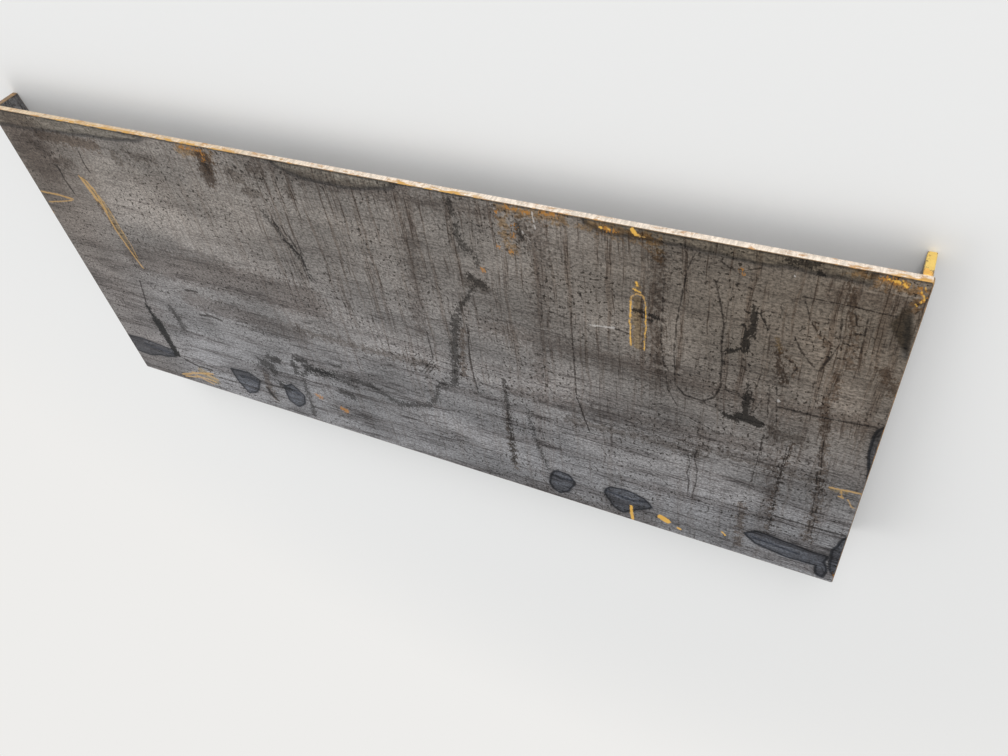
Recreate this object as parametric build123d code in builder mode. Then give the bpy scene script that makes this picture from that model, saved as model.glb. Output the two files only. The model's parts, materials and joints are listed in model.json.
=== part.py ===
from build123d import *
from math import atan2, cos, radians, sin, tan
import os

# Welded mounting plate for a loader attachment, cut from flat plate and flat bar.
# Millimetres. It lies on its end flanges with its clean face up.
# X runs along the plate, Y towards its top edge, Z up. The origin is under the
# middle of the part, on the floor.

# Face plate
plate_length = 1143
plate_height = 495
plate_thickness = 8

# End flanges, upright bars behind the short edges
flange_thickness = 8
flange_inset = 2
flange_top_depth = 32
flange_margin = 2
flange_corner_radius = 6

# Top lip, a bar at 45 degrees that hooks over the loader's frame
top_lip_width = 45
top_lip_thickness = 8
top_lip_lean = 45
top_lip_margin = 8

# Bottom lips, leaning bars that take the loader's lock pins
bottom_lip_width = 76
bottom_lip_thickness = 8
bottom_lip_lean = 30
bottom_lip_margin = 47
bottom_lip_end = 363
bottom_lip_corner_radius = 18

# Pin slots, measured from the end of the plate and from the lip's foot
slot_width = 27
slot_foot_margin = 39
long_slot_start = 105
long_slot_length = 121
short_slot_start = 284
short_slot_length = 46

# Gussets between the bottom lips and the plate's margin
gusset_thickness = 8
gusset_margin = 4
gusset_nose = 3
gusset_foot_margin = 4
outer_gusset_place = 253.5
inner_gusset_place = 347.5

# Small chamfer that stands for the broken edge of cut steel
edge_break = 0.6

# Derived: where the foot of a bottom lip lies, as height up the plate and depth
# behind its back face
lip_sine = sin(radians(bottom_lip_lean))
lip_cosine = cos(radians(bottom_lip_lean))
foot_up = bottom_lip_margin - bottom_lip_width * lip_sine
foot_deep = bottom_lip_width * lip_cosine
heel_up = foot_up + bottom_lip_thickness * lip_cosine
heel_deep = foot_deep + bottom_lip_thickness * lip_sine

# Derived: the flanges' undersides run from the lips' heels to the top edge, and
# the part lies on them, so its face tilts by this angle
tilt = atan2(heel_deep - flange_top_depth, plate_height - heel_up)
up_the_plate = Vector(0, cos(tilt), -sin(tilt))
behind_the_plate = Vector(0, -sin(tilt), -cos(tilt))
back_y = -(plate_height * cos(tilt) + plate_thickness * sin(tilt)) / 2
back_z = heel_up * sin(tilt) + heel_deep * cos(tilt)
half_length = plate_length / 2
flange_inner_x = half_length - flange_inset - flange_thickness


def spot(x, up, deep):
    """A point from its place along the plate, up the plate and behind its back."""
    corner = Vector(x, back_y, back_z)
    return corner + up_the_plate * up + behind_the_plate * deep


def section_plane(x):
    """Cross-section at x: sketch X runs up the plate, sketch Y out of its face."""
    return Plane(origin=spot(x, 0, 0), x_dir=up_the_plate, z_dir=(1, 0, 0))


def lip_plane(up, lean):
    """Outer face of a lip: sketch Y runs from its root to its foot."""
    outward = up_the_plate * cos(radians(lean)) + behind_the_plate * sin(radians(lean))
    return Plane(origin=spot(0, up, 0), x_dir=(1, 0, 0), z_dir=outward)


def finish(piece, name):
    """Names one piece and writes it."""
    piece.label = name
    export_step(piece, f"parts/{name}.step")


os.makedirs("parts", exist_ok=True)
back_face = Plane(origin=spot(0, 0, 0), x_dir=(1, 0, 0), z_dir=-behind_the_plate)

# Face plate
with BuildPart() as face_plate:
    with BuildSketch(back_face):
        Rectangle(plate_length, plate_height, align=(Align.CENTER, Align.MIN))
    extrude(amount=plate_thickness)
    chamfer(edges(), edge_break)
finish(face_plate.part, "face_plate")

# Top lip, with its root trimmed flat on the plate's back
top_lip_length = 2 * flange_inner_x
with BuildPart() as top_lip:
    with BuildSketch(lip_plane(plate_height - top_lip_margin, top_lip_lean)):
        Rectangle(top_lip_length, top_lip_width, align=(Align.CENTER, Align.MIN))
    extrude(amount=-top_lip_thickness)
    split(bisect_by=back_face, keep=Keep.BOTTOM)
    chamfer(edges(), edge_break)
finish(top_lip.part, "top_lip")

# The rest comes in left and right pairs
root_overrun = bottom_lip_thickness * tan(radians(bottom_lip_lean))
lip_length = bottom_lip_end - flange_inset - flange_thickness
slot_centre = bottom_lip_width - slot_foot_margin - slot_width / 2
gusset_reach = bottom_lip_width - gusset_foot_margin

for side, hand in ((-1, "left"), (1, "right")):
    with BuildPart() as end_flange:
        with BuildSketch(section_plane(side * (flange_inner_x + flange_thickness / 2))):
            with BuildLine():
                Polyline(
                    (flange_margin, 0),
                    (foot_up, -foot_deep),
                    (heel_up, -heel_deep),
                    (plate_height, -flange_top_depth),
                    (plate_height, 0),
                    close=True,
                )
            make_face()
            deep_corners = vertices().sort_by(Axis.Y)[:2]
            fillet(deep_corners, flange_corner_radius)
        extrude(amount=flange_thickness / 2, both=True)
        chamfer(edges(), edge_break)
    finish(end_flange.part, f"end_flange_{hand}")

    with BuildPart() as bottom_lip:
        with BuildSketch(lip_plane(bottom_lip_margin, bottom_lip_lean)):
            with Locations((side * (flange_inner_x - lip_length / 2), -root_overrun)):
                full_width = bottom_lip_width + root_overrun
                Rectangle(lip_length, full_width, align=(Align.CENTER, Align.MIN))
            foot_corners = vertices().group_by(Axis.Y)[-1]
            fillet(foot_corners, bottom_lip_corner_radius)
            for start, length in (
                (long_slot_start, long_slot_length),
                (short_slot_start, short_slot_length),
            ):
                with Locations((side * (half_length - start - length / 2), slot_centre)):
                    Rectangle(length, slot_width, mode=Mode.SUBTRACT)
        extrude(amount=bottom_lip_thickness)
        split(bisect_by=back_face, keep=Keep.BOTTOM)
        broad_faces = faces().sort_by(SortBy.AREA)[-2:]
        chamfer(broad_faces.edges(), edge_break)
    finish(bottom_lip.part, f"bottom_lip_{hand}")

    for place, where in ((outer_gusset_place, "outer"), (inner_gusset_place, "inner")):
        with BuildPart() as gusset:
            with BuildSketch(section_plane(side * (half_length - place))):
                nose_up = bottom_lip_margin - gusset_reach * lip_sine
                nose_deep = gusset_reach * lip_cosine
                with BuildLine():
                    Polyline(
                        (gusset_margin, 0),
                        (bottom_lip_margin, 0),
                        (nose_up, -nose_deep),
                        (nose_up - gusset_nose, -nose_deep),
                        close=True,
                    )
                make_face()
            extrude(amount=gusset_thickness / 2, both=True)
            chamfer(edges(), edge_break)
        finish(gusset.part, f"gusset_{hand}_{where}")
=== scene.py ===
from collections import namedtuple
import json
import math

import bmesh
import bpy
from mathutils import Matrix, Vector, noise


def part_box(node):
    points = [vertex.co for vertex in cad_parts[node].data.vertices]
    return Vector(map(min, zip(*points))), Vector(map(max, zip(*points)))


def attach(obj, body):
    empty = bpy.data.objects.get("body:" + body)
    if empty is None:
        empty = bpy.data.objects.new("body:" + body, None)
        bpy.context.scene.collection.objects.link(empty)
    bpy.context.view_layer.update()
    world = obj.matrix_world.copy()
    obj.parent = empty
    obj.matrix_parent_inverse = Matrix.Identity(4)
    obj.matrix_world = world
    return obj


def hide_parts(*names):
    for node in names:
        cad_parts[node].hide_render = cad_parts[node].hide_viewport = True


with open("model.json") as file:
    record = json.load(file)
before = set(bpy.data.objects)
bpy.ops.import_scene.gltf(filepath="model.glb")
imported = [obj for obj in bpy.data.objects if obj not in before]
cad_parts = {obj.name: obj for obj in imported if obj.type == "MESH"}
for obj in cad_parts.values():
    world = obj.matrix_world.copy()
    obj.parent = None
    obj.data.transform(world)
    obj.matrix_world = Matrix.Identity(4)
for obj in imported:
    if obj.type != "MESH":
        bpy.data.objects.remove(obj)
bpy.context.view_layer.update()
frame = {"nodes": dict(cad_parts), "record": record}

# Places, all from the frame. Plate coordinates are millimetres from the middle
# of the clean face: x along the plate, y towards its top edge, z out of the face.
MM = 0.001
mounts = {m["name"]: m for m in frame["record"]["mounts"]}
face_middle = Vector(mounts["face"]["pos_m"])
face_normal = Vector(mounts["face"]["axis"])
along = Vector((1, 0, 0))
up_the_plate = face_normal.cross(along)
tilt = math.atan2(face_normal.y, face_normal.z)


def reach(node, direction):
    """How far a node reaches from the middle of the face, in millimetres."""
    corners = frame["nodes"][node].data.vertices
    return max((v.co - face_middle).dot(direction) for v in corners) / MM


half_length = reach("face_plate", along)
half_height = reach("face_plate", up_the_plate)
plate_thickness = reach("face_plate", -face_normal)
flange_inner_x = -reach("end_flange_right", -along)


def in_the_row(x, y, z=0):
    """Row coordinates in metres of a point given in plate coordinates."""
    return face_middle + (along * x + up_the_plate * y + face_normal * z) * MM


# Camera, matched to the photograph's four plate corners. Pixels are in the
# photograph's frame, and the camera's place and directions in plate coordinates.
PHOTO_WIDTH = 1008
PHOTO_HEIGHT = 756
FOCAL_PIXELS = 846.4
SENSOR = 36
camera_place = Vector((523.1, 741.2, 607.7))
camera_forward = Vector((-0.3617, -0.7291, -0.5810)).normalized()
camera_up_hint = Vector((-0.2417, 0.6753, -0.6969))
camera_right = camera_forward.cross(camera_up_hint).normalized()
camera_up = camera_right.cross(camera_forward)


def on_face(px, py):
    """Plate coordinates of the point of the face at a pixel of the photograph."""
    ray = camera_forward * FOCAL_PIXELS
    ray = ray + camera_right * (px - PHOTO_WIDTH / 2) + camera_up * (PHOTO_HEIGHT / 2 - py)
    hit = camera_place - ray * (camera_place.z / ray.z)
    return Vector((hit.x, hit.y, 0))


def new_object(name, data):
    """A new object in the scene."""
    made = bpy.data.objects.new(name, data)
    bpy.context.scene.collection.objects.link(made)
    return made


def make_camera():
    data = bpy.data.cameras.new("camera")
    data.sensor_width = SENSOR
    data.lens = FOCAL_PIXELS / PHOTO_WIDTH * SENSOR
    camera = new_object("camera", data)
    plate_axes = Matrix((along, up_the_plate, face_normal)).transposed()
    turn = plate_axes @ Matrix((camera_right, camera_up, -camera_forward)).transposed()
    camera.matrix_world = Matrix.Translation(in_the_row(*camera_place)) @ turn.to_4x4()
    bpy.context.scene.camera = camera


def screen(red, green, blue):
    """Linear colour of an 8-bit screen colour."""
    return tuple(((c / 255 + 0.055) / 1.055) ** 2.4 for c in (red, green, blue))


# Marks as places on the face. A line has its start, its end and half its width,
# and a patch has its corners, all in plate millimetres.
Line = namedtuple("Line", "start end half_width")
FAR_AWAY = 9999
SHORTEST_RUN = 1
PATCH_ROUNDING = 6

# A surface starts to face a direction at one cosine and faces it fully at another
FACING = (0.8, 0.9)

# Finish of a metal: its roughness from one value to another, how metallic it is, the
# depth of its bumps in millimetres and the level of its specular reflection
Finish = namedtuple("Finish", "roughness metallic bumps specular")


def lines_of(strokes):
    """The lines of strokes, which are each a width and points, all in pixels."""
    lines = []
    for width, *pixels in strokes:
        spots = [on_face(*pixel) for pixel in pixels]
        (x0, y0), (x1, y1) = pixels[0], pixels[-1]
        aside = Vector((y0 - y1, x1 - x0)).normalized() * width / 2
        half_width = (on_face(x0 + aside.x, y0 + aside.y) - spots[0]).length
        lines += [Line(start, end, half_width) for start, end in zip(spots, spots[1:])]
    return lines


def near(strip, spots, margin):
    """Whether a mark with these points can colour a strip, which is its two ends in x."""
    low, high = strip
    places = [spot.x for spot in spots]
    return min(places) - margin < high and max(places) + margin > low


def lines_near(strip, strokes, margin):
    """The lines of strokes that can colour a strip of the face."""
    lines = lines_of(strokes)
    return [line for line in lines if near(strip, line[:2], margin + line.half_width)]


class Shader:
    """Adds nodes to a material or a world. Values are sockets, numbers or tuples."""

    def __init__(self, owner):
        owner.use_nodes = True
        self.owner = owner
        self.tree = owner.node_tree
        self.tree.nodes.clear()

    def node(self, kind, inputs=(), **settings):
        """A new node. Its inputs are by name or number, as sockets, numbers or tuples."""
        made = self.tree.nodes.new("ShaderNode" + kind)
        for key, value in settings.items():
            setattr(made, key, value)
        for key, value in dict(inputs).items():
            self.feed(made.inputs[key], value)
        return made

    def feed(self, socket, value):
        if isinstance(value, bpy.types.NodeSocket):
            self.tree.links.new(value, socket)
        elif socket.type == "RGBA" and len(value) == 3:
            socket.default_value = (*value, 1)
        else:
            socket.default_value = value

    def math(self, operation, a, b=0, c=0):
        return self.node("Math", {0: a, 1: b, 2: c}, operation=operation).outputs[0]

    def vector(self, operation, a, b=(0, 0, 0)):
        made = self.node("VectorMath", {0: a, 1: b}, operation=operation)
        gives_number = operation in ("LENGTH", "DOT_PRODUCT", "DISTANCE")
        return made.outputs["Value" if gives_number else "Vector"]

    def step(self, value, low, high, to=(0, 1)):
        """Smooth step of a value between low and high."""
        ends = {"From Min": low, "From Max": high, "To Min": to[0], "To Max": to[1]}
        made = self.node("MapRange", {"Value": value, **ends}, interpolation_type="SMOOTHSTEP")
        return made.outputs["Result"]

    def noise(self, point, size, detail=3, roughness=0.55, colour=False):
        """Noise with blotches of about the given size, one number or one for each axis."""
        size = (size, size, size) if isinstance(size, (int, float)) else size
        scaled = self.vector("DIVIDE", point, size)
        values = {"Vector": scaled, "Scale": 1, "Detail": detail, "Roughness": roughness}
        return self.node("TexNoise", values).outputs["Color" if colour else "Fac"]

    def warp(self, point, size, by):
        """The point moved about by noise."""
        shift = self.vector("SUBTRACT", self.noise(point, size, 2, colour=True), (0.5, 0.5, 0.5))
        return self.vector("ADD", point, self.vector("MULTIPLY", shift, (by, by, by)))

    def mix(self, factor, a, b, blend="MIX"):
        """Mixes two colours, which are the inputs 6 and 7 of a mix node."""
        given = {0: factor, 6: a, 7: b}
        return self.node("Mix", given, data_type="RGBA", blend_type=blend).outputs[2]

    def cover(self, colour, shade, share, strength=1):
        """Colour multiplied by a shade where both the share and the strength are high."""
        return self.mix(self.math("MULTIPLY", share, strength), colour, shade, "MULTIPLY")

    def shade(self, colour, factor):
        """Colour made lighter or darker by a number."""
        return self.vector("MULTIPLY", colour, factor)

    def blend(self, factor, a, b):
        """Mixes two numbers, which are the inputs 2 and 3 of a mix node."""
        return self.node("Mix", {0: factor, 2: a, 3: b}, data_type="FLOAT").outputs[0]

    def plate_point(self):
        """Plate coordinates of the shaded point, in millimetres."""
        place = self.node("TexCoord").outputs["Object"]
        turned = {"Location": face_middle, "Rotation": (-tilt, 0, 0), "Scale": (MM, MM, MM)}
        return self.node("Mapping", {"Vector": place, **turned}, vector_type="TEXTURE").outputs[0]

    def facing(self, direction, either_way=False):
        """1 where the surface faces a direction, 0 where it doesn't."""
        normal = self.node("TexCoord").outputs["Normal"]
        turned = self.vector("DOT_PRODUCT", normal, direction)
        if either_way:
            turned = self.math("ABSOLUTE", turned)
        return self.step(turned, *FACING)

    def nearest_line(self, point, lines):
        """Distance from the nearest of several lines, negative inside their width."""
        nearest = FAR_AWAY
        for line in lines:
            run = line.end - line.start
            given = {
                "Point": point,
                "Nearest": nearest,
                "Start": line.start,
                "Run": run,
                "Slope": run / max(run.length_squared, SHORTEST_RUN),
                "Half width": line.half_width,
            }
            nearest = self.node("Group", node_tree=line_group, inputs=given).outputs[0]
        return nearest

    def nearest_patch(self, point, patches):
        """Distance from the nearest of several patches, negative inside them. Each side
        of a patch cuts off all that lies beyond its line."""
        nearest = FAR_AWAY
        for spots in patches:
            middle = sum(spots, Vector((0, 0, 0))) / len(spots)
            farthest = -FAR_AWAY
            for start, end in zip(spots, spots[1:] + spots[:1]):
                outward = Vector((start.y - end.y, end.x - start.x, 0)).normalized()
                if outward.dot(middle - start) > 0:
                    outward = -outward
                given = {
                    "Point": point,
                    "Farthest": farthest,
                    "Outward": outward,
                    "Offset": outward.dot(start),
                }
                farthest = self.node("Group", node_tree=side_group, inputs=given).outputs[0]
            nearest = self.math("MINIMUM", nearest, farthest)
        return nearest

    def metal(self, colour, grain, finish):
        """The finished material of a metal, whose grain is noise."""
        bumps = {"Height": grain, "Distance": finish.bumps * MM, "Strength": 1}
        values = {
            "Base Color": colour,
            "Roughness": self.step(grain, 0.25, 0.75, finish.roughness),
            "Metallic": finish.metallic,
            "Specular IOR Level": finish.specular,
            "Normal": self.node("Bump", bumps).outputs[0],
        }
        surface = self.node("BsdfPrincipled", values)
        self.node("OutputMaterial", {"Surface": surface.outputs[0]})
        return self.owner


class Group(Shader):
    """A node group that takes vectors and numbers and gives a number."""

    def __init__(self, name, vectors, numbers):
        self.tree = bpy.data.node_groups.new(name, "ShaderNodeTree")
        for label in vectors:
            self.add_socket(label, "INPUT", "NodeSocketVector")
        for label in numbers:
            self.add_socket(label, "INPUT", "NodeSocketFloat")
        self.add_socket("Result", "OUTPUT", "NodeSocketFloat")
        self.given = self.tree.nodes.new("NodeGroupInput").outputs

    def add_socket(self, label, in_out, kind):
        self.tree.interface.new_socket(name=label, in_out=in_out, socket_type=kind)

    def give(self, value):
        self.tree.links.new(value, self.tree.nodes.new("NodeGroupOutput").inputs[0])
        return self.tree


def make_line_group():
    """Distance from a line, or the nearest so far if that is less."""
    group = Group("line", ("Point", "Start", "Run", "Slope"), ("Nearest", "Half width"))
    given = group.given
    place = group.vector("SUBTRACT", given["Point"], given["Start"])
    share = group.math("MINIMUM", group.vector("DOT_PRODUCT", place, given["Slope"]), 1)
    share = group.math("MAXIMUM", share, 0)
    foot = group.node("VectorMath", {0: given["Run"], "Scale": share}, operation="SCALE")
    distance = group.vector("DISTANCE", place, foot.outputs["Vector"])
    distance = group.math("SUBTRACT", distance, given["Half width"])
    return group.give(group.math("MINIMUM", given["Nearest"], distance))


def make_side_group():
    """Distance beyond one side of a patch, or beyond the farthest side so far if that
    is more. The corner between the two is rounded."""
    group = Group("side", ("Point", "Outward"), ("Farthest", "Offset"))
    given = group.given
    beyond = group.vector("DOT_PRODUCT", given["Point"], given["Outward"])
    beyond = group.math("SUBTRACT", beyond, given["Offset"])
    return group.give(group.math("SMOOTH_MAX", given["Farthest"], beyond, PATCH_ROUNDING))


line_group = make_line_group()
side_group = make_side_group()

# Marks on the clean face. Each stroke is its width and its points, in pixels of
# the photograph, and each patch is the pixels of its corners.
BROAD_SHADES = (
    (8, (530, 487), (600, 508), (650, 522)),
    (20, (140, 258), (230, 280), (310, 302)),
    (11, (190, 299), (250, 318), (300, 335)),
    (12, (487, 326), (560, 346), (650, 370)),
    (10, (515, 391), (640, 421), (750, 446)),
    (16, (650, 373), (760, 401), (875, 430)),
    (14, (538, 226), (541, 300), (540, 380)),
    (13, (657, 258), (653, 320), (656, 386)),
    (12, (404, 192), (412, 250), (420, 330)),
    (10, (774, 400), (770, 460), (766, 520)),
    (11, (250, 163), (420, 202), (490, 214)),
    (26, (24, 132), (40, 160)),
    (15, (836, 292), (915, 306)),
)
BROAD_LIGHTS = (
    (8, (586, 222), (640, 236), (704, 249)),
    (46, (125, 195), (240, 240)),
    (26, (300, 322), (425, 350)),
    (20, (480, 374), (570, 388)),
    (16, (390, 412), (510, 443)),
    (30, (600, 455), (730, 492)),
    (16, (330, 220), (390, 245)),
    (34, (820, 350), (850, 420)),
)
SOFT_SHADES = (
    (12, (203, 158), (209, 178)),
    (8, (200, 156), (207, 168)),
    (9, (232, 173), (238, 177)),
    (9, (252, 171), (259, 175)),
    (7, (247, 191), (256, 193)),
    (6, (287, 192), (291, 195)),
    (6, (55, 161), (71, 163)),
    (4, (27, 138), (42, 149), (55, 160)),
    (5, (114, 154), (120, 163)),
    (5, (129, 153), (137, 158), (151, 160)),
    (12, (470, 282), (482, 286)),
    (14, (520, 224), (521, 238)),
    (9, (777, 346), (781, 378)),
    (7, (663, 250), (659, 300), (660, 374)),
    (10, (773, 432), (800, 441)),
    (5, (680, 442), (745, 461), (822, 483)),
    (6, (568, 420), (640, 437), (700, 455)),
    (5, (300, 330), (380, 353), (430, 365)),
)
OIL_RUNS = (
    (4.4, (447, 199), (452, 215)),
    (5, (455, 227), (461, 246), (470, 250)),
    (3.6, (476, 257), (478, 266)),
    (7, (471, 278), (482, 285)),
    (4.4, (474, 287), (463, 304)),
    (6.6, (461, 306), (455, 318)),
    (7.6, (456, 318), (454, 340), (455, 362)),
    (6, (455, 362), (455, 383)),
    (3, (440, 385), (455, 384)),
    (4.2, (439, 386), (436, 398), (429, 406)),
    (3.8, (430, 406), (400, 404), (374, 387)),
    (4.2, (374, 387), (346, 377), (306, 369)),
    (2.4, (315, 374), (333, 377), (356, 387)),
    (2.6, (262, 211), (284, 238), (300, 259)),
    (2.2, (300, 257), (311, 278)),
    (3.2, (170, 307), (178, 318), (184, 329)),
    (3.6, (505, 381), (507, 405), (512, 440), (514, 462)),
    (2.4, (528, 411), (536, 441), (549, 469)),
    (4.6, (342, 391), (352, 397)),
    (2.2, (332, 365), (340, 367)),
    (2.6, (304, 381), (309, 396), (315, 415)),
    (4, (517, 224), (521, 238)),
    (3, (205, 162), (209, 172)),
)
BLACK_MARKS = (
    (1.8, (146, 304), (153, 316)),
    (5.2, (157, 321), (165, 334)),
    (3.8, (165, 334), (177, 354)),
    (3.6, (754, 306), (755, 314)),
    (8, (755, 313), (753, 331)),
    (4, (754, 330), (755, 338)),
    (6.6, (747, 332), (743, 350)),
    (4.6, (749, 334), (746, 351)),
    (3.6, (728, 352), (742, 349)),
    (2.2, (725, 354), (733, 350)),
    (3.4, (634, 310), (645, 313), (657, 318)),
    (1.8, (640, 316), (652, 321)),
    (3, (744, 325), (751, 334)),
    (2, (760, 314), (768, 329)),
    (3.8, (748, 384), (747, 397)),
    (7.4, (747, 396), (746, 413)),
    (8, (740, 416), (752, 421)),
    (8, (751, 420), (758, 424)),
    (4, (724, 414), (736, 420)),
    (2.2, (750, 388), (753, 401)),
)
BLOTCHES = (
    (2.2, (148, 307), (157, 321)),
    (4, (157, 321), (165, 334)),
    (3.4, (165, 334), (177, 354)),
    (5, (262, 362), (272, 366)),
    (5, (270, 358), (279, 361)),
    (4.4, (268, 366), (275, 372)),
    (4.4, (296, 359), (304, 361)),
    (4, (294, 364), (297, 373)),
    (4, (302, 375), (313, 370)),
    (4.4, (306, 366), (322, 372)),
    (4, (318, 371), (331, 374)),
    (3.6, (281, 384), (288, 389)),
    (3.6, (788, 260), (802, 264)),
    (5, (803, 263), (818, 266)),
    (4, (816, 266), (820, 273)),
)
DARK_LINES = (
    (1.3, (272, 219), (279, 229), (281, 236)),
    (1.1, (281, 226), (287, 236)),
    (1.4, (283, 240), (292, 246)),
    (1.2, (289, 236), (296, 248)),
    (1.6, (291, 247), (299, 255)),
    (1.2, (297, 241), (302, 254)),
    (1.3, (300, 252), (304, 266)),
    (1, (304, 262), (309, 277)),
    (1.5, (695, 253), (688, 268), (681, 300), (676, 328), (674, 352), (675, 384)),
    (1.5, (675, 384), (685, 395), (703, 401), (714, 397), (720, 387)),
    (1.7, (720, 387), (722, 362), (721, 345), (724, 325), (721, 306), (716, 283), (719, 279)),
    (1.1, (664, 275), (661, 340), (668, 390), (677, 405)),
    (1.3, (719, 260), (730, 268), (745, 271), (761, 268)),
    (1.1, (548, 311), (568, 319)),
    (1.4, (614, 328), (632, 335)),
    (1.1, (571, 312), (573, 350), (577, 400)),
    (1.2, (577, 398), (590, 432)),
    (1.3, (803, 297), (840, 304), (896, 317)),
    (1.5, (795, 337), (801, 351), (814, 367)),
    (1.5, (842, 319), (840, 344), (830, 358)),
    (2.4, (830, 358), (820, 371)),
    (1.8, (778, 407), (815, 416), (845, 422), (877, 428)),
    (1.3, (786, 360), (794, 363), (797, 369), (791, 374)),
    (1.2, (775, 385), (762, 400), (753, 412)),
    (1.1, (761, 375), (755, 390)),
    (1.2, (770, 385), (767, 418)),
    (1.2, (777, 386), (776, 425)),
    (1.2, (723, 389), (738, 393), (744, 400)),
    (1.2, (690, 418), (707, 427), (714, 431)),
    (1.6, (719, 432), (720, 433)),
    (1.4, (724, 430), (723, 434)),
    (1, (433, 359), (421, 373)),
    (1, (436, 364), (425, 379)),
    (1, (434, 362), (423, 376)),
    (1, (417, 354), (411, 360)),
    (1, (427, 332), (433, 358)),
    (1.4, (467, 325), (470, 360), (478, 392)),
    (1.2, (688, 453), (690, 463), (687, 472), (689, 482), (688, 492)),
    (1.2, (697, 450), (694, 458), (697, 470), (696, 482), (692, 497)),
    (1, (684, 450), (691, 451)),
    (1.6, (774, 516), (805, 525), (845, 536)),
    (1.4, (764, 435), (757, 460), (751, 482)),
    (1.5, (788, 445), (782, 466), (777, 484)),
    (1.8, (776, 482), (783, 483)),
    (1.1, (824, 440), (821, 470), (818, 500), (811, 536)),
    (1, (820, 446), (816, 490), (808, 532)),
    (1, (792, 443), (783, 468), (776, 492), (769, 528)),
    (1.2, (57, 165), (65, 180), (74, 193)),
    (1, (77, 148), (84, 164), (90, 172)),
    (1, (140, 281), (146, 302)),
    (1.2, (185, 290), (197, 292)),
    (1.4, (200, 315), (210, 316), (222, 321)),
    (1.2, (579, 291), (583, 300)),
    (1.2, (592, 279.5), (601, 279.5)),
    (1.2, (805, 300), (810, 320), (820, 335), (832, 344)),
    (1.1, (856, 312), (858, 334), (865, 336), (868, 320)),
    (1.6, (861, 348), (861, 354)),
    (1.2, (185, 359), (198, 366), (212, 370)),
    (1.6, (268, 388), (272, 394), (278, 400)),
    (1.3, (271, 385), (284, 388)),
)
BROWN_RUNS = (
    (6, (779, 352), (781, 382)),
    (3, (788, 357), (796, 364), (793, 376)),
    (12, (202, 156), (208, 175)),
    (5, (208, 172), (213, 186)),
    (2.2, (97, 201), (107, 216), (117, 230)),
    (6, (850, 284), (856, 342)),
    (7, (853, 342), (848, 368)),
    (6, (838, 374), (834, 396)),
    (7, (826, 400), (825, 440), (821, 478)),
    (9, (820, 478), (814, 516), (806, 540)),
    (4, (792, 443), (781, 474), (771, 506), (767, 532)),
    (4, (266, 375), (270, 388), (275, 399)),
    (5, (462, 328), (463, 374)),
    (3, (815, 325), (825, 343), (836, 346)),
    (10, (884, 372), (896, 394)),
    (3, (506, 412), (516, 468)),
    (7, (742, 505), (738, 545)),
    (7, (38, 134), (95, 146)),
)
GOLD_LINES = (
    (1.6, (635, 232), (640, 236)),
    (0.9, (640, 236), (645, 237)),
    (1.3, (630.5, 302), (632, 296), (637, 294), (643, 296), (645.5, 303)),
    (1.1, (41, 191), (60, 195), (73, 199)),
    (0.9, (73, 200), (65, 201), (50, 202)),
    (1, (46, 203), (53, 212)),
    (1, (79, 176), (90, 189), (102, 205), (116, 230), (127, 246), (137, 260), (143, 268)),
    (1.6, (81, 178), (89, 189), (97, 200)),
    (1, (85, 180), (92, 188), (100, 199), (107, 212)),
    (0.5, (82, 178), (93, 188), (103, 201), (113, 216), (122, 231), (131, 245), (137, 257)),
    (1.2, (183, 374), (198, 373), (213, 374)),
    (0.9, (186, 376), (200, 377), (214, 384)),
    (0.7, (192, 372), (206, 374), (218, 380)),
    (0.8, (196, 375), (208, 379), (216, 382)),
    (1.6, (830, 487), (847, 491), (862, 494)),
    (1.2, (841, 489), (842, 498)),
    (1.4, (839, 496.5), (843, 498)),
    (0.9, (848, 500), (851, 507), (857, 509), (861, 506)),
)
YELLOW_MARKS = (
    (1.5, (630.5, 302), (630, 320), (631, 345)),
    (0.8, (645.5, 303), (646, 324), (644, 350)),
    (1.4, (636, 282), (637, 286)),
    (1.2, (634, 289), (640, 292)),
    (3.4, (632, 229), (636, 234)),
    (1.6, (600, 227), (602, 228)),
    (1.4, (608, 228), (609, 229)),
    (2.4, (631, 506), (633, 521)),
    (4, (661, 517), (667, 521)),
    (1.6, (678, 528), (680, 529)),
    (1.2, (722, 532), (725, 535)),
    (1.3, (889, 280), (890, 280)),
    (1.7, (894, 281), (896, 282)),
    (2.4, (898.5, 282), (901, 283)),
    (1.1, (903, 281), (903.5, 282)),
    (2, (904.5, 285), (907, 287)),
    (1.1, (909, 284), (910, 284)),
    (1.4, (922, 292), (922, 293)),
    (2.1, (923.5, 296), (924.5, 300)),
    (1.3, (921, 302), (921, 303)),
    (1.4, (916, 305), (916.5, 306)),
    (1.1, (926, 287), (926, 288.5)),
)
RUST_SPOTS = (
    (2, (541, 212.5), (556, 215)),
    (1.8, (522, 212), (528, 213)),
    (1.4, (495, 211), (496, 212)),
    (1.4, (506, 207), (515, 209)),
    (1.4, (514.5, 225), (515, 226)),
    (1.8, (514, 235), (514, 237)),
    (1.8, (498, 246), (499, 246)),
    (1.4, (510, 251), (511, 252)),
    (2, (482, 269), (483, 271)),
    (2.2, (317, 395), (321, 397)),
    (2.8, (343, 409), (347, 411)),
    (1.6, (180, 147), (201, 151)),
    (1.6, (202, 155), (203, 160)),
    (3, (835, 575), (838, 580)),
    (3, (884, 279), (908, 286)),
    (2.4, (921, 287), (923, 300)),
    (2.6, (604, 228), (614, 231)),
    (1.2, (742, 269), (743, 274)),
)
PALE_MARKS = (
    (1.4, (590, 325), (600, 326), (614, 328)),
    (2.2, (778, 400), (778.5, 401)),
    (1.2, (532, 212), (534, 222)),
    (1.4, (534, 225), (535, 228)),
    (1.2, (522, 231), (523, 233)),
    (1.2, (794, 275), (795, 276)),
)
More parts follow.
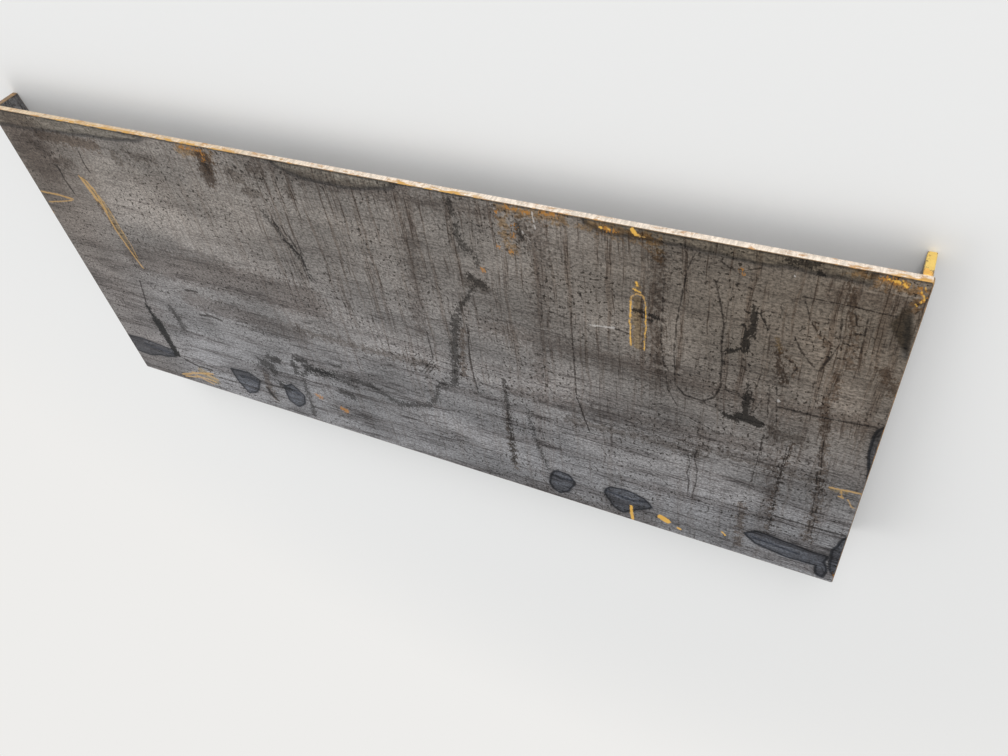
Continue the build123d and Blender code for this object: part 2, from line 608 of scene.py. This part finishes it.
YELLOW_SHADES = (
    (6, (633, 233), (650, 238)),
    (4, (777, 339), (780, 352)),
    (2.8, (84, 180), (98, 197), (108, 213)),
    (4.6, (100, 200), (111, 217), (124, 238)),
    (2.6, (120, 232), (136, 258)),
    (9, (637, 300), (638, 346)),
    (5, (637, 284), (637, 292)),
    (5, (646, 238), (662, 252)),
    (5, (203, 372), (215, 380)),
    (3, (832, 489), (846, 493)),
)
RUST_SHADES = (
    (10, (500, 208), (560, 219)),
    (7, (502, 222), (512, 250)),
    (10, (586, 224), (655, 240)),
    (5, (652, 242), (658, 258)),
    (7, (856, 273), (880, 279)),
    (11, (880, 281), (920, 291)),
    (8, (920, 290), (916, 308)),
    (8, (180, 149), (206, 155)),
    (4, (203, 156), (208, 170)),
)
WELD_TINTS = (
    ((231, 368), (249, 373), (261, 381), (258, 392), (250, 393), (239, 381)),
    ((284, 386), (292, 384), (304, 395), (305, 404), (299, 407), (290, 400)),
    ((549, 481), (552, 472), (557, 470), (569, 475), (576, 483), (569, 492), (561, 493), (553, 488)),
    ((604, 492), (609, 487), (623, 489), (634, 493), (646, 500), (652, 508), (623, 512), (614, 507)),
    ((744, 533), (757, 531), (790, 543), (829, 557), (820, 567), (785, 556), (755, 543)),
    ((127, 334), (141, 337), (176, 351), (177, 357), (150, 354), (136, 349)),
    ((815, 563), (824, 561), (827, 570), (822, 577), (816, 574)),
    ((853, 535), (840, 541), (832, 550), (829, 560), (829, 571), (838, 580), (870, 545)),
    ((890, 425), (876, 432), (869, 450), (866, 470), (868, 486), (890, 480)),
)
EDGE_TINTS = (
    ((-20, 100), (60, 105), (141, 138), (132, 144), (83, 138), (25, 128), (-15, 123)),
    ((268, 150), (400, 178), (396, 184), (388, 189), (354, 189), (299, 178), (272, 164)),
    ((578, 200), (880, 262), (868, 286), (830, 278), (740, 261), (640, 242), (604, 234), (585, 224)),
)
TINT_LINES = (
    (1.8, (753, 537), (766, 542), (798, 554)),
    (1.8, (241, 376), (250, 378), (257, 382)),
    (1.8, (290, 389), (299, 394)),
    (1.8, (551, 474), (560, 478), (571, 480)),
    (1.9, (607, 491), (620, 496), (634, 501), (646, 502)),
    (1.8, (146, 344), (160, 349), (174, 354)),
)
CORNER_SHADE = (
    (905, 307), (912, 305), (914, 318), (911, 347),
    (905, 360), (899, 346), (886, 334), (886, 327),
)
CORNER_CORE = ((7, (909, 318), (905, 356)),)
RUSTY_EDGE = (
    (6, (60, 121), (215, 152)),
    (6, (226, 156), (236, 158)),
    (6, (400, 184), (470, 196)),
    (6, (905, 275), (925, 279)),
)

# Layers of strokes, those under the heat tints and those over them. A stroke's border
# is twice as wide as soft. Coarse noise moves it by up to about a third of ragged, and
# fine noise of gritty. All three are in millimetres.
Layer = namedtuple("Layer", "strokes colour strength soft ragged gritty blend", defaults=["MULTIPLY"])
NOISE_REACH = 0.3
UNDER_TINTS = (
    Layer(BROAD_LIGHTS, (1.2, 1.19, 1.18), 0.9, 16, 60, 12),
    Layer(BROAD_SHADES, (0.6, 0.56, 0.54), 0.85, 9, 50, 34),
    Layer(SOFT_SHADES, (0.5, 0.46, 0.43), 0.85, 5, 36, 24),
    Layer(BROWN_RUNS, (0.48, 0.4, 0.34), 0.85, 2.6, 26, 22),
    Layer(OIL_RUNS, (0.28, 0.27, 0.26), 0.9, 1.6, 16, 24),
    Layer(DARK_LINES, (0.22, 0.2, 0.19), 0.92, 0.7, 3, 3),
)
OVER_TINTS = (
    Layer(BLACK_MARKS, (0.12, 0.11, 0.1), 0.935, 0.9, 7, 9),
    Layer(BLOTCHES, (0.2, 0.19, 0.18), 0.9, 1, 26, 26),
    Layer(TINT_LINES, (0.3, 0.33, 0.4), 0.8, 0.6, 2, 2),
    Layer(RUST_SHADES, (1, 0.74, 0.44), 0.85, 5, 34, 20),
    Layer(YELLOW_SHADES, (1.04, 0.84, 0.5), 0.75, 1.4, 8, 10),
    Layer(RUST_SPOTS, screen(176, 120, 48), 0.7, 1, 8, 18, "MIX"),
    Layer(GOLD_LINES, screen(206, 164, 98), 0.62, 0.7, 2, 3, "MIX"),
    Layer(YELLOW_MARKS, screen(236, 184, 84), 0.85, 0.8, 1.6, 4, "MIX"),
    Layer(PALE_MARKS, screen(205, 200, 195), 0.55, 0.6, 3, 4, "MIX"),
)

# Colours of the steel
SCALE_LOW = screen(131, 130, 131)
SCALE_HIGH = screen(124, 118, 112)
RUST = screen(168, 106, 48)
OCHRE = screen(204, 158, 84)
# Painted sunlit highlight of the top edge, paler to the right and warmer to the left
SUNLIT_CUT_HIGHLIGHT = screen(236, 222, 206)
WARM_CUT_HIGHLIGHT = screen(218, 196, 166)
BROWN_CUT = screen(132, 108, 80)
BURNT = screen(40, 38, 38)
BLUED = screen(70, 84, 104)
STRAW = screen(138, 116, 88)
BEAD_PALE = screen(158, 154, 148)
BEAD_BROWN = screen(118, 104, 90)

# Shades, which a colour is multiplied by
CLOUD_SHADE = (0.58, 0.55, 0.54)
COLUMN_SHADE = (0.66, 0.59, 0.54)
DASH_SHADE = (0.32, 0.3, 0.3)
RUN_SHADE = (0.36, 0.31, 0.28)
PIT_SHADE = (0.22, 0.2, 0.18)
RIGHT_SHADE = (0.86, 0.78, 0.68)
LEFT_END_SHADE = (0.76, 0.71, 0.67)
BESIDE_RIM_SHADE = (0.55, 0.54, 0.55)
CORNER_BROWN = (0.29, 0.25, 0.19)
CORNER_GREY = (0.44, 0.48, 0.54)

# Where the clean face changes its look, from one x or y to another, in millimetres
LOWER_TO_UPPER = (-190, 190)
MIDDLE_TO_LEFT = (-60, -560)
MIDDLE_TO_RIGHT = (60, 540)
RUNS_TO_FEW = (-90, -340)
TO_LEFT_END = (-390, -540)
# Painted shade: a narrow band under the top edge, where the rounded edge is in shadow
TO_SHADED_BRINK = (half_height - 4, half_height - 1.5)

# Heat tints along the top edge and elsewhere: their patches, the shades inside them
# and on their rims, and the rims' width in millimetres
HEAT_TINTS = (
    (EDGE_TINTS, (0.88, 0.87, 0.81), (0.55, 0.56, 0.58), 3.6),
    (WELD_TINTS, (0.4, 0.425, 0.475), (0.2, 0.21, 0.24), 2.5),
)

# Widths on the clean face, in millimetres. Noise moves a mark by up to FACE_BEND, and
# the reaches are how far from it a mark can still colour the face. RIM_CORE is a share
# of a rim's width.
RIM_CORE = 0.3
BESIDE_RIM = 9
TINT_BORDER = 1
STAIN_BORDER = 2.5
FACE_BEND = 1.3
PATCH_REACH = 20
CORE_REACH = 30

# Heat tints beside a weld seam, each from one distance to a nearer one in
# millimetres, with its strength and its colour
SEAM_TINTS = ((20, 13, 0.35, STRAW), (15, 9, 0.7, BLUED), (9, 3, 0.8, BURNT))

# Plate's edges: from where to where the painted sunlit highlight on the top edge gets
# warmer, how far rust reaches from its lines, and where its front begins
TO_WARM = (100, -450)
RUST_REACH = (14, -4)
TO_FRONT = (-4.5, -2.5)

FACE_FINISH = Finish((0.42, 0.66), 0.3, 0.08, 0.15)
BACK_FINISH = Finish((0.45, 0.7), 0.3, 0.15, 0.5)
BAR_FINISH = Finish((0.42, 0.66), 0.3, 0.1, 0.5)
BEAD_FINISH = Finish((0.34, 0.56), 0.55, 0.12, 0.5)


def mill_scale(shader, flat, height, runs=1):
    """Bare hot-rolled steel in its mill scale: pale grey with dark dashes, lengthwise
    where the height is 0 and crosswise where it is 1, with pits and stained columns.
    The crosswise runs and columns are as strong as runs, from 0 to 1."""
    blotches = shader.noise(flat, (150, 70, 70), 4)
    fine = shader.noise(flat, (3.4, 2.6, 2.6), 3, 0.7)
    bent = shader.warp(flat, 60, 8)
    crosswise = shader.noise(bent, (1.9, 60, 60), 2, 0.6)
    lengthwise = shader.noise(bent, (42, 1.9, 1.9), 2, 0.6)
    clouds = shader.noise(flat, (210, 18, 18), 4, 0.6)
    columns = shader.noise(shader.warp(flat, 80, 14), (9, 260, 260), 3, 0.7)
    pits = shader.noise(flat, (4.2, 5, 5), 1)
    pitted = shader.noise(flat, (120, 90, 90), 2)

    colour = shader.mix(height, SCALE_LOW, SCALE_HIGH)
    colour = shader.shade(colour, shader.step(blotches, 0.34, 0.66, (0.8, 1.2)))
    colour = shader.shade(colour, shader.step(fine, 0.34, 0.66, (0.6, 1.36)))
    strength = shader.blend(height, 0.85, 0.35)
    colour = shader.cover(colour, CLOUD_SHADE, shader.step(clouds, 0.46, 0.64), strength)
    crosswise_strength = shader.math("MULTIPLY", shader.blend(height, 0.3, 0.78), runs)
    stained = shader.step(columns, 0.5, 0.64)
    colour = shader.cover(colour, COLUMN_SHADE, stained, crosswise_strength)
    dense = shader.step(clouds, 0.36, 0.58, (0.3, 1))
    dense = shader.math("MULTIPLY", dense, shader.blend(height, 1, 0.4))
    colour = shader.cover(colour, DASH_SHADE, shader.step(lengthwise, 0.52, 0.6), dense)
    dense = shader.step(columns, 0.44, 0.6, (0.1, 1.1))
    dense = shader.math("MULTIPLY", dense, crosswise_strength)
    colour = shader.cover(colour, RUN_SHADE, shader.step(crosswise, 0.53, 0.6), dense)
    dense = shader.step(pitted, 0.4, 0.58, (0.3, 1))
    return shader.cover(colour, PIT_SHADE, shader.step(pits, 0.61, 0.66), dense)


def paint(shader, colour, point, strip, wander, grit, layers):
    """Lays the marks that reach a strip over its colour."""
    for layer in layers:
        margin = FACE_BEND + layer.soft + (layer.ragged + layer.gritty) * NOISE_REACH
        lines = lines_near(strip, layer.strokes, margin)
        if not lines:
            continue
        distance = shader.nearest_line(point, lines)
        distance = shader.math("MULTIPLY_ADD", wander, layer.ragged, distance)
        distance = shader.math("MULTIPLY_ADD", grit, layer.gritty, distance)
        covered = shader.step(distance, layer.soft, -layer.soft, (0, layer.strength))
        colour = shader.mix(covered, colour, layer.colour, layer.blend)
    return colour


def patch_distance(shader, point, strip, patches):
    """Distance from the nearest of the patches that reach a strip."""
    placed = [[on_face(*pixel) for pixel in pixels] for pixels in patches]
    margin = FACE_BEND + PATCH_REACH
    return shader.nearest_patch(point, [spots for spots in placed if near(strip, spots, margin)])


def tint(shader, colour, distance, inside, rim_shade, rim_width):
    """Heat tint from a weld behind the plate: a shade inside, a dark rim and a soft
    shade on both sides of the rim."""
    colour = shader.cover(colour, inside, shader.step(distance, TINT_BORDER, -TINT_BORDER))
    inner = shader.step(distance, -BESIDE_RIM, 0, (0, 0.5))
    outer = shader.step(distance, BESIDE_RIM, 0)
    colour = shader.cover(colour, BESIDE_RIM_SHADE, inner, outer)
    rim = shader.step(shader.math("ABSOLUTE", distance), rim_width, rim_width * RIM_CORE)
    return shader.cover(colour, rim_shade, rim)


def heat_tints(shader, colour, flat, strip):
    """The tints from the welds along the top edge, and from the others."""
    mottle = shader.step(shader.noise(flat, (30, 7, 7)), 0.3, 0.7, (0.8, 1.25))
    wavy = shader.warp(flat, 34, 8)
    for patches, shade, rim_shade, rim_width in HEAT_TINTS:
        distance = patch_distance(shader, wavy, strip, patches)
        inside = shader.shade(shade, mottle)
        colour = tint(shader, colour, distance, inside, rim_shade, rim_width)
    return colour


def corner_stain(shader, colour, bent, strip):
    """The dark stain near the upper right corner, with a greyer core."""
    distance = patch_distance(shader, bent, strip, [CORNER_SHADE])
    stained = shader.step(distance, STAIN_BORDER, -STAIN_BORDER, (0, 0.9))
    colour = shader.cover(colour, CORNER_BROWN, stained)
    core = lines_near(strip, CORNER_CORE, CORE_REACH)
    if core:
        stained = shader.step(shader.nearest_line(bent, core), 4, -3, (0, 0.85))
        colour = shader.cover(colour, CORNER_GREY, stained)
    return colour


def clean_face(shader, flat, strip):
    """Colour of a strip of the clean face, with the marks that the photograph shows."""
    x, y, _ = shader.node("SeparateXYZ", {0: flat}).outputs
    height = shader.step(y, *LOWER_TO_UPPER)
    colour = mill_scale(shader, flat, height, shader.step(x, *RUNS_TO_FEW, (1, 0.3)))
    colour = shader.shade(colour, shader.step(x, *MIDDLE_TO_LEFT, (1.04, 1.24)))
    colour = shader.cover(colour, RIGHT_SHADE, shader.step(x, *MIDDLE_TO_RIGHT), height)
    colour = shader.cover(colour, LEFT_END_SHADE, shader.step(x, *TO_LEFT_END))
    # Painted shade along the top of the face, just under the rounded top edge
    colour = shader.shade(colour, shader.step(y, *TO_SHADED_BRINK, (1, 0.45)))

    bent = shader.warp(flat, 22, FACE_BEND * 2)
    wander = shader.math("SUBTRACT", shader.noise(flat, 7, 2), 0.5)
    grit = shader.math("SUBTRACT", shader.noise(flat, (1.8, 4.2, 4.2), 2), 0.5)
    colour = paint(shader, colour, bent, strip, wander, grit, UNDER_TINTS)
    colour = heat_tints(shader, colour, flat, strip)
    colour = corner_stain(shader, colour, bent, strip)
    return paint(shader, colour, bent, strip, wander, grit, OVER_TINTS)


def strip_steel(number, strip):
    """Material of one strip of the clean face."""
    shader = Shader(bpy.data.materials.new(f"clean_face_{number}"))
    flat = shader.vector("MULTIPLY", shader.plate_point(), (1, 1, 0))
    colour = clean_face(shader, flat, strip)
    return shader.metal(colour, shader.noise(flat, 3, 3, 0.7), FACE_FINISH)


def burnt(shader, colour, place, seams):
    """Heat tints beside weld seams: burnt at the bead, then blue, then straw."""
    distance = shader.nearest_line(shader.warp(place, 12, 5), seam_lines(seams))
    for far, close, strength, shade in SEAM_TINTS:
        colour = shader.mix(shader.step(distance, far, close, (0, strength)), colour, shade)
    return colour


def cut_edge(shader, place, colour):
    """Flame-cut edge with rust on it."""
    ridges = shader.noise(place, (2.2, 2.2, 9), 2)
    colour = shader.shade(colour, shader.step(ridges, 0.3, 0.7, (0.78, 1.16)))
    rust = shader.step(shader.noise(place, (16, 16, 5), 4, 0.7), 0.54, 0.66, (0, 0.8))
    return shader.mix(rust, colour, shader.mix(shader.noise(place, 5), RUST, OCHRE))


def plate_edges(shader, place, flat):
    """Colour of the plate's edges: brown, but pale along the top edge with a painted
    sunlit highlight, which is warmer to the left, and ochre in places along its front."""
    x = shader.vector("DOT_PRODUCT", place, (1, 0, 0))
    z = shader.vector("DOT_PRODUCT", place, (0, 0, 1))
    # Painted sunlit highlight: the top edge is pale, warmer to the left, the other edges stay brown
    pale = shader.mix(shader.step(x, *TO_WARM), SUNLIT_CUT_HIGHLIGHT, WARM_CUT_HIGHLIGHT)
    colour = shader.mix(shader.facing(up_the_plate), BROWN_CUT, pale)
    colour = cut_edge(shader, place, colour)
    rusty = shader.step(shader.nearest_line(flat, lines_of(RUSTY_EDGE)), *RUST_REACH)
    patchy = shader.step(shader.noise(place, (12, 12, 3), 4), 0.4, 0.55)
    front = shader.step(z, *TO_FRONT, (0.15, 1))
    rusty = shader.math("MULTIPLY", shader.math("MULTIPLY", rusty, patchy), front)
    return shader.mix(rusty, colour, OCHRE)


def back_steel():
    """Material of the plate's back and its edges."""
    shader = Shader(bpy.data.materials.new("plate_back_and_edges"))
    place = shader.plate_point()
    flat = shader.vector("MULTIPLY", place, (1, 1, 0))
    back = burnt(shader, mill_scale(shader, flat, 0.2), place, plate_seams)
    edges = plate_edges(shader, place, flat)
    colour = shader.mix(shader.facing(-face_normal), edges, back)
    return shader.metal(colour, shader.noise(place, (1.6, 1.6, 14), 2), BACK_FINISH)


def in_plate(direction):
    """A direction of the row turned into plate coordinates."""
    return Vector((direction.x, direction.dot(up_the_plate), direction.dot(face_normal)))


def bar_steel(name, broad, run, seams, paint_spots=()):
    """Material of a bar: mill scale on its broad faces, cut edges elsewhere, heat
    tints along its seams and paint in a few spots."""
    shader = Shader(bpy.data.materials.new(name))
    place = shader.plate_point()
    along_it = shader.vector("DOT_PRODUCT", place, in_plate(run))
    across_it = shader.vector("DOT_PRODUCT", place, in_plate(broad.cross(run)))
    flat = shader.node("CombineXYZ", {0: along_it, 1: across_it}).outputs[0]
    scale = mill_scale(shader, flat, 0.15)
    colour = shader.mix(shader.facing(broad, True), cut_edge(shader, place, BROWN_CUT), scale)
    colour = burnt(shader, colour, place, seams)
    grit = shader.math("SUBTRACT", shader.noise(place, 3), 0.5)
    for centre, radius, shade in paint_spots:
        distance = shader.vector("DISTANCE", place, centre)
        distance = shader.math("MULTIPLY_ADD", grit, radius * 3, distance)
        colour = shader.mix(shader.step(distance, radius, radius * 0.7, (0, 0.9)), colour, shade)
    return shader.metal(colour, shader.noise(place, 2.6, 3, 0.7), BAR_FINISH)


def weld_metal():
    """Bare weld bead, grey and brown with blue tints from its own heat."""
    shader = Shader(bpy.data.materials.new("weld_metal"))
    place = shader.plate_point()
    blotches = shader.noise(place, 14)
    fine = shader.noise(place, 1.4)
    colour = shader.mix(shader.step(blotches, 0.35, 0.65), BEAD_PALE, BEAD_BROWN)
    colour = shader.mix(shader.step(shader.noise(place, 9, 2), 0.56, 0.7, (0, 0.6)), colour, BLUED)
    colour = shader.shade(colour, shader.step(fine, 0.3, 0.7, (0.7, 1.25)))
    return shader.metal(colour, fine, BEAD_FINISH)


# Face plate. Its clean face is split into strips along its length, and each strip
# has a material with only the marks that reach it.
STRIP_COUNT = 10
EDGE_ROUNDING = 0.8
EDGE_SEGMENTS = 3
CORNER_ROUNDING = 2.5
CORNER_SEGMENTS = 4
ROUNDED_TURN = 1.2
FACES_UP = 0.99
CLOSE = 0.1


def join_rings(build, rings):
    """Joins rings of corners into a closed solid."""
    for ring, next_ring in zip(rings, rings[1:]):
        for i in range(len(ring)):
            build.faces.new((ring[i - 1], ring[i], next_ring[i], next_ring[i - 1]))
    build.faces.new(rings[0])
    build.faces.new(reversed(rings[-1]))


def plate_block(ends):
    """Box of the plate in plate coordinates, cut across at the ends of the strips."""
    build = bmesh.new()
    back = -plate_thickness
    section = ((-half_height, 0), (half_height, 0), (half_height, back), (-half_height, back))
    join_rings(build, [[build.verts.new((x, y, z)) for y, z in section] for x in ends])
    bmesh.ops.recalc_face_normals(build, faces=build.faces)
    return build


def round_off(build, edges, radius, segments):
    bmesh.ops.bevel(build, geom=edges, offset=radius, segments=segments, profile=0.5, affect="EDGES")


def at_a_corner(edge):
    """Whether an edge runs through the thickness at a corner of the plate."""
    start, end = (vert.co for vert in edge.verts)
    return abs(start.z - end.z) > plate_thickness / 2 and abs(start.x) > half_length - CLOSE


def make_face_plate():
    ends = [half_length * (2 * i / STRIP_COUNT - 1) for i in range(STRIP_COUNT + 1)]
    build = plate_block(ends)
    upright = [edge for edge in build.edges if at_a_corner(edge)]
    round_off(build, upright, CORNER_ROUNDING, CORNER_SEGMENTS)
    sharp = [edge for edge in build.edges if edge.calc_face_angle(0) > ROUNDED_TURN]
    round_off(build, sharp, EDGE_ROUNDING, EDGE_SEGMENTS)

    strip_length = ends[1] - ends[0]
    for face in build.faces:
        if face.normal.z > FACES_UP:
            place = (face.calc_center_median().x + half_length) / strip_length
            face.material_index = min(int(place), STRIP_COUNT - 1)
        else:
            face.material_index = STRIP_COUNT
            face.smooth = True
    for corner in build.verts:
        corner.co = in_the_row(*corner.co)
    mesh = bpy.data.meshes.new("plate_steel")
    build.to_mesh(mesh)
    build.free()
    for number, strip in enumerate(zip(ends, ends[1:])):
        mesh.materials.append(strip_steel(number, strip))
    mesh.materials.append(back_steel())
    plate = new_object("plate_steel", mesh)
    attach(plate, "root")
    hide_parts("face_plate")


# Weld seams, in the corners between the pieces. Stitches follow the heat tints that
# show on the clean face. The leans, margins and reach are those of the CAD pieces.
BOTTOM_LIP_LEAN = math.radians(30)
TOP_LIP_LEAN = math.radians(45)
LIP_THICKNESS = 8
BOTTOM_LIP_MARGIN = 47
TOP_LIP_MARGIN = 8
GUSSET_MARGIN = 4
GUSSET_REACH = 72

UP = Vector((0, 1, 0))
BEHIND = Vector((0, 0, -1))
RIGHT = Vector((1, 0, 0))
lip_run = BEHIND * math.cos(BOTTOM_LIP_LEAN) - UP * math.sin(BOTTOM_LIP_LEAN)
lip_outward = UP * math.cos(BOTTOM_LIP_LEAN) + BEHIND * math.sin(BOTTOM_LIP_LEAN)
top_lip_run = BEHIND * math.cos(TOP_LIP_LEAN) - UP * math.sin(TOP_LIP_LEAN)
lip_heel = BOTTOM_LIP_MARGIN + LIP_THICKNESS / math.cos(BOTTOM_LIP_LEAN)

# Stitches of the top lip by x, of the bottom lips by their distance from the middle,
# and of the flanges by their height above the lower edge
TOP_LIP_STITCHES = ((-560, -320), (-105, 48), (262, 508))
LIP_STITCHES = ((471, 561), (330, 400), (222, 306))
LIP_END_STITCH = (561, 459)
FLANGE_STITCHES = ((406, 464), (219, 302), (60, 100))

Seam = namedtuple("Seam", "start end side_a side_b")


def on_back(x, up):
    """Plate coordinates of a point of the back, by its height above the lower edge."""
    return Vector((x, up - half_height, -plate_thickness))


def long_seam(x0, x1, up, side_a, side_b):
    """Seam that runs along the plate on its back."""
    return Seam(on_back(x0, up), on_back(x1, up), side_a, side_b)


def find_bottom_lip_seams(side):
    heel = [long_seam(side * x0, side * x1, lip_heel, UP, lip_run) for x0, x1 in LIP_STITCHES]
    x0, x1 = LIP_END_STITCH
    return heel + [long_seam(side * x0, side * x1, BOTTOM_LIP_MARGIN, -UP, lip_run)]


def find_gusset_seams(hand):
    seams = []
    for where in ("outer", "inner"):
        low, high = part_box(f"gusset_{hand}_{where}")
        for x, away in ((low.x / MM, -RIGHT), (high.x / MM, RIGHT)):
            start = on_back(x, GUSSET_MARGIN)
            root = on_back(x, BOTTOM_LIP_MARGIN)
            nose = root + lip_run * GUSSET_REACH
            seams.append(Seam(start, root, away, BEHIND))
            seams.append(Seam(root, nose, away, -lip_outward))
    return seams


def find_flange_seams(side):
    x = side * flange_inner_x
    away = -side * RIGHT
    return [Seam(on_back(x, low), on_back(x, high), away, BEHIND) for low, high in FLANGE_STITCHES]


def seam_lines(seams):
    return [Line(seam.start, seam.end, 0) for seam in seams]


top_root = 2 * half_height - TOP_LIP_MARGIN
top_seams = [long_seam(x0, x1, top_root, UP, top_lip_run) for x0, x1 in TOP_LIP_STITCHES]
seams_of = {"top_lip": top_seams}
for hand, side in (("left", -1), ("right", 1)):
    seams_of[f"bottom_lip_{hand}"] = find_bottom_lip_seams(side)
    seams_of[f"gussets_{hand}"] = find_gusset_seams(hand)
    seams_of[f"end_flange_{hand}"] = find_flange_seams(side)
all_seams = sum(seams_of.values(), [])
plate_seams = [seam for seam in all_seams if abs(seam.start.z - seam.end.z) < CLOSE]

# Weld beads, which are fillets with ripples, in millimetres. The crown and the sway
# are shares of the leg.
BEAD_LEG = 5
BEAD_CROWN = 0.16
BEAD_SWAY = 0.14
SWAY_LENGTH = 17
SWAY_SEED_STEP = 7.3
BEAD_SINK = 0.4
RIPPLE_PITCH = 2.6
RIPPLE_HEIGHT = 0.28
RIPPLE_LAG = 0.9
RING_SPACING = 0.55
ARC_POINTS = 9
BLUNT_END = 0.3


def bead_ring(seam, place, length, seed):
    """Corner points of one cross-section of a bead, at a distance along its seam."""
    ahead = (seam.end - seam.start).normalized()
    from_end = min(place, length - place)
    taper = math.sqrt(min(1, (from_end + BLUNT_END) / BEAD_LEG))
    sway = noise.noise(Vector((place / SWAY_LENGTH, seed * SWAY_SEED_STEP, 0)))
    leg = BEAD_LEG * (1 + BEAD_SWAY * sway) * taper
    out = (seam.side_a + seam.side_b).normalized()
    corner = seam.start + ahead * place
    ring = [corner - out * BEAD_SINK]
    for i in range(ARC_POINTS):
        share = i / (ARC_POINTS - 1)
        crown = math.sin(math.pi * share)
        lag = RIPPLE_PITCH * RIPPLE_LAG * crown
        ripple = abs(math.sin(math.pi * (place - lag) / RIPPLE_PITCH))
        swell = crown * (BEAD_CROWN * leg + RIPPLE_HEIGHT * taper * ripple)
        chord = seam.side_a * (leg * (1 - share)) + seam.side_b * (leg * share)
        ring.append(corner + chord + out * swell)
    return ring


def make_beads(name, seams, material):
    """One mesh of the beads along several seams."""
    build = bmesh.new()
    for seed, seam in enumerate(seams):
        length = (seam.end - seam.start).length
        count = int(length / RING_SPACING)
        rings = []
        for i in range(count + 1):
            ring = bead_ring(seam, length * i / count, length, seed)
            rings.append([build.verts.new(in_the_row(*point)) for point in ring])
        join_rings(build, rings)
    bmesh.ops.recalc_face_normals(build, faces=build.faces)
    mesh = bpy.data.meshes.new(name)
    build.to_mesh(mesh)
    build.free()
    mesh.shade_smooth()
    mesh.materials.append(material)
    beads = new_object(name, mesh)
    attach(beads, "root")


# Paint and rust on the end of the right flange, which shows above the plate: each
# spot's place, its size and its colour
TAB_YELLOW = screen(238, 204, 112)
TAB_ORANGE = screen(234, 180, 88)
TAB_SPOTS = (
    ((568, 247, -20), 11, TAB_YELLOW),
    ((568, 247, -32), 11, TAB_YELLOW),
    ((564, 248, -11), 7, TAB_ORANGE),
)


def dress(nodes, name, broad, run, seams, paint_spots=()):
    """Gives nodes the material of a bar."""
    material = bar_steel(name, broad, run, seams, paint_spots)
    for node in nodes:
        slots = frame["nodes"][node].data.materials
        slots.clear()
        slots.append(material)


def leaning(lean):
    """The direction that a lip's broad side faces, from the lip's lean."""
    return up_the_plate * math.cos(lean) - face_normal * math.sin(lean)


def make_bars():
    """Materials of the pieces behind the plate."""
    dress(["top_lip"], "top_lip_scale", leaning(TOP_LIP_LEAN), along, seams_of["top_lip"])
    for hand in ("left", "right"):
        lip = f"bottom_lip_{hand}"
        flange = f"end_flange_{hand}"
        gussets = [f"gusset_{hand}_outer", f"gusset_{hand}_inner"]
        gusset_seams = seams_of[f"gussets_{hand}"]
        seams = seams_of[lip] + gusset_seams
        dress([lip], f"bottom_lip_scale_{hand}", leaning(BOTTOM_LIP_LEAN), along, seams)
        dress(gussets, f"gusset_scale_{hand}", along, up_the_plate, gusset_seams)
        spots = TAB_SPOTS if hand == "right" else ()
        dress([flange], f"flange_scale_{hand}", along, up_the_plate, seams_of[flange], spots)


# Stage: a pale floor, a plain sky and two soft lamps, in metres and watts
BACKGROUND = screen(238, 237, 235)
FLOOR_COLOUR = screen(236, 235, 233)
FADE_START = 0.5
FADE_END = 1.9
FLOOR_SIZE = 30
FLOOR_GAP = 0.0003
SKY_COLOUR = (0.96, 0.98, 1)
SKY_STRENGTH = 0.72
LAMP_SIZE = 2.4
KEY_PLACE = (0.8, 5.6, 2.4)
KEY_POWER = 190
FILL_PLACE = (-1.8, -1.6, 2.6)
FILL_POWER = 16


def pale_floor():
    """Pale floor that keeps the shadow and fades to the even background far away."""
    shader = Shader(bpy.data.materials.new("floor"))
    matt = {"Base Color": FLOOR_COLOUR, "Roughness": 0.95, "Specular IOR Level": 0.1}
    floor = shader.node("BsdfPrincipled", matt).outputs[0]
    even = shader.node("Emission", {"Color": BACKGROUND}).outputs[0]
    place = shader.node("TexCoord").outputs["Object"]
    far = shader.step(shader.vector("LENGTH", place), FADE_START, FADE_END)
    path = shader.node("LightPath").outputs
    seen = shader.math("MAXIMUM", path["Is Camera Ray"], path["Is Glossy Ray"])
    seen = shader.math("MAXIMUM", seen, path["Is Transmission Ray"])
    mixed = shader.node("MixShader", {0: shader.math("MULTIPLY", far, seen), 1: floor, 2: even})
    shader.node("OutputMaterial", {"Surface": mixed.outputs[0]})
    return shader.owner


def make_floor():
    mesh = bpy.data.meshes.new("floor")
    signs = ((-1, -1), (1, -1), (1, 1), (-1, 1))
    corners = [(x * FLOOR_SIZE, y * FLOOR_SIZE, -FLOOR_GAP) for x, y in signs]
    mesh.from_pydata(corners, [], [(0, 1, 2, 3)])
    mesh.materials.append(pale_floor())
    floor = new_object("floor", mesh)


def add_light(name, place, power):
    """Soft disk lamp that looks at the part."""
    data = bpy.data.lights.new(name, "AREA")
    data.shape = "DISK"
    data.size = LAMP_SIZE
    data.energy = power
    light = new_object(name, data)
    light.location = place
    light.rotation_euler = (-Vector(place)).to_track_quat("-Z", "Y").to_euler()


def make_world():
    """Plain sky that lights the part, and the even background that the camera sees."""
    shader = Shader(bpy.data.worlds.new("studio"))
    bpy.context.scene.world = shader.owner
    sky = shader.node("Background", {"Color": SKY_COLOUR, "Strength": SKY_STRENGTH}).outputs[0]
    even = shader.node("Background", {"Color": BACKGROUND}).outputs[0]
    path = shader.node("LightPath").outputs
    seen = shader.math("MAXIMUM", path["Is Camera Ray"], path["Is Transmission Ray"])
    mixed = shader.node("MixShader", {0: seen, 1: sky, 2: even})
    shader.node("OutputWorld", {"Surface": mixed.outputs[0]})


make_camera()
make_floor()
make_world()
add_light("key", KEY_PLACE, KEY_POWER)
add_light("fill", FILL_PLACE, FILL_POWER)

make_face_plate()
make_bars()
bead_steel = weld_metal()
for place, seams in seams_of.items():
    make_beads(f"beads_{place}", seams, bead_steel)

bpy.context.scene.view_settings.view_transform = "Standard"
